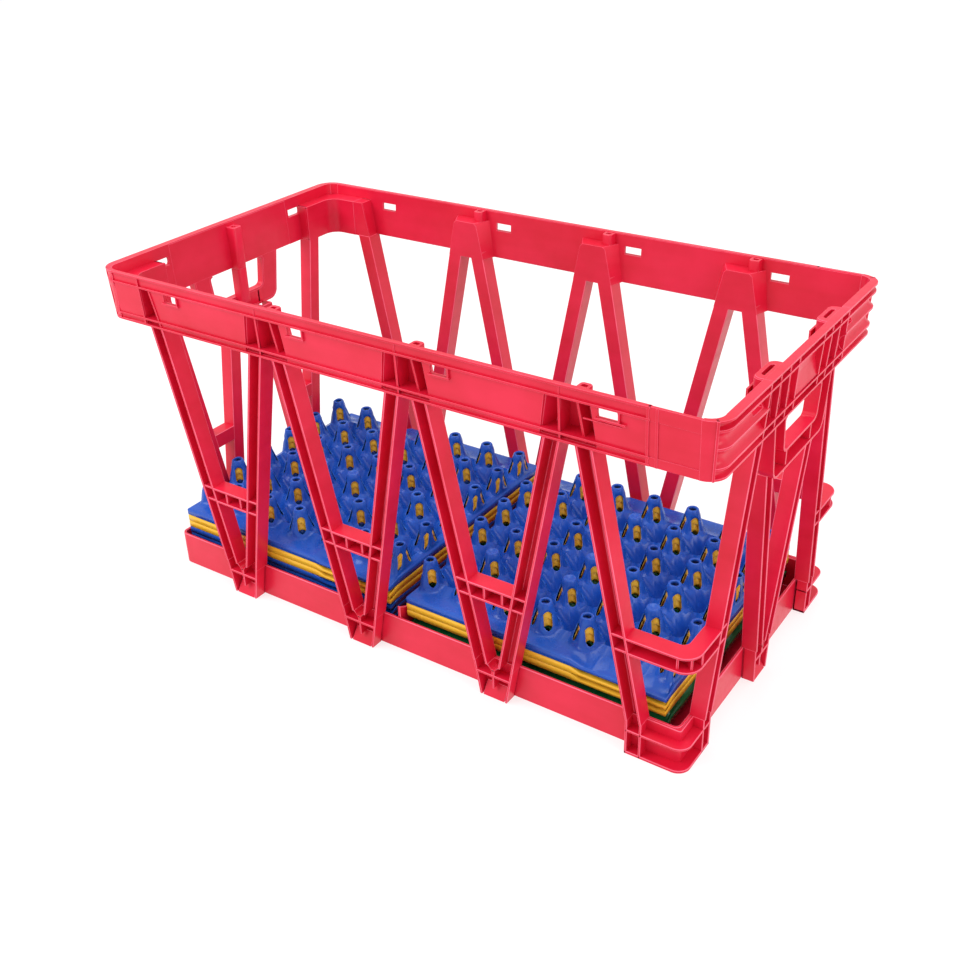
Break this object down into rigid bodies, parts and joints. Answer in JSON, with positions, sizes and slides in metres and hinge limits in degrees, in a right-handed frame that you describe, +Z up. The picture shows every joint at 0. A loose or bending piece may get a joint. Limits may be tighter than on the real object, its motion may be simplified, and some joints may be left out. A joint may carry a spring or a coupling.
{
  "type": "egg crate with trays",
  "caption": "Open plastic egg crate with V-shaped side struts, a ridged rim band and hand holes, holding two stacks of nested egg trays with pointed pegs.",
  "frame": {"origin": "on the floor, under the middle of the rim", "axes": "+X along the crate, towards the end that has a foot at each corner; +Z up; +Y from the front long side to the back long side"},
  "size_m": [0.68, 0.356, 0.355],
  "materials": {
    "crate_red": "glossy moulded polyethylene, bright red",
    "tray_blue": "satin moulded polypropylene, blue",
    "tray_yellow": "satin moulded polypropylene, yellow",
    "tray_green": "satin moulded polypropylene, dark green"
  },
  "bodies": {
    "crate": {"base_tray": "crate_red", "rim_front": "crate_red", "rim_back": "crate_red", "rim_left": "crate_red", "rim_right": "crate_red", "hand_frame_left": "crate_red", "hand_frame_right": "crate_red", "front_strut_1": "crate_red", "front_strut_2": "crate_red", "front_strut_3": "crate_red", "front_strut_4": "crate_red", "front_strut_5": "crate_red", "front_strut_6": "crate_red", "front_strut_7": "crate_red", "back_strut_1": "crate_red", "back_strut_2": "crate_red", "back_strut_3": "crate_red", "back_strut_4": "crate_red", "back_strut_5": "crate_red", "back_strut_6": "crate_red", "back_strut_7": "crate_red", "right_strut_1": "crate_red", "right_strut_2": "crate_red", "right_strut_3": "crate_red", "right_strut_4": "crate_red", "left_strut_1": "crate_red", "left_strut_2": "crate_red", "left_strut_3": "crate_red", "left_strut_4": "crate_red", "front_tie_1": "crate_red", "front_tie_2": "crate_red", "front_tie_3": "crate_red", "back_tie_1": "crate_red", "back_tie_2": "crate_red", "back_tie_3": "crate_red", "corner_tie_front": "crate_red", "corner_tie_back": "crate_red", "left_tie_front": "crate_red", "left_tie_back": "crate_red", "front_foot_1": "crate_red", "front_foot_2": "crate_red", "front_foot_3": "crate_red", "back_foot_1": "crate_red", "back_foot_2": "crate_red", "back_foot_3": "crate_red", "corner_foot_front": "crate_red", "corner_foot_back": "crate_red", "right_foot": "crate_red", "left_foot_front": "crate_red", "left_foot_back": "crate_red"},
    "left_tray_1": {"left_tray_1": "tray_blue"},
    "left_tray_2": {"left_tray_2": "tray_blue"},
    "left_tray_3": {"left_tray_3": "tray_blue"},
    "left_tray_4": {"left_tray_4": "tray_yellow"},
    "left_tray_5": {"left_tray_5": "tray_yellow"},
    "left_tray_6": {"left_tray_6": "tray_blue"},
    "right_tray_1": {"right_tray_1": "tray_green"},
    "right_tray_2": {"right_tray_2": "tray_yellow"},
    "right_tray_3": {"right_tray_3": "tray_yellow"},
    "right_tray_4": {"right_tray_4": "tray_blue"}
  },
  "joints": [
    {"name": "left_tray_1_lift", "type": "slide", "parent": "crate", "child": "left_tray_1", "axis": [0, 0, 1], "range_m": [0, 0.36]},
    {"name": "left_tray_2_lift", "type": "slide", "parent": "left_tray_1", "child": "left_tray_2", "axis": [0, 0, 1], "range_m": [0, 0.36]},
    {"name": "left_tray_3_lift", "type": "slide", "parent": "left_tray_2", "child": "left_tray_3", "axis": [0, 0, 1], "range_m": [0, 0.36]},
    {"name": "left_tray_4_lift", "type": "slide", "parent": "left_tray_3", "child": "left_tray_4", "axis": [0, 0, 1], "range_m": [0, 0.36]},
    {"name": "left_tray_5_lift", "type": "slide", "parent": "left_tray_4", "child": "left_tray_5", "axis": [0, 0, 1], "range_m": [0, 0.36]},
    {"name": "left_tray_6_lift", "type": "slide", "parent": "left_tray_5", "child": "left_tray_6", "axis": [0, 0, 1], "range_m": [0, 0.36]},
    {"name": "right_tray_1_lift", "type": "slide", "parent": "crate", "child": "right_tray_1", "axis": [0, 0, 1], "range_m": [0, 0.36]},
    {"name": "right_tray_2_lift", "type": "slide", "parent": "right_tray_1", "child": "right_tray_2", "axis": [0, 0, 1], "range_m": [0, 0.36]},
    {"name": "right_tray_3_lift", "type": "slide", "parent": "right_tray_2", "child": "right_tray_3", "axis": [0, 0, 1], "range_m": [0, 0.36]},
    {"name": "right_tray_4_lift", "type": "slide", "parent": "right_tray_3", "child": "right_tray_4", "axis": [0, 0, 1], "range_m": [0, 0.36]}
  ]
}
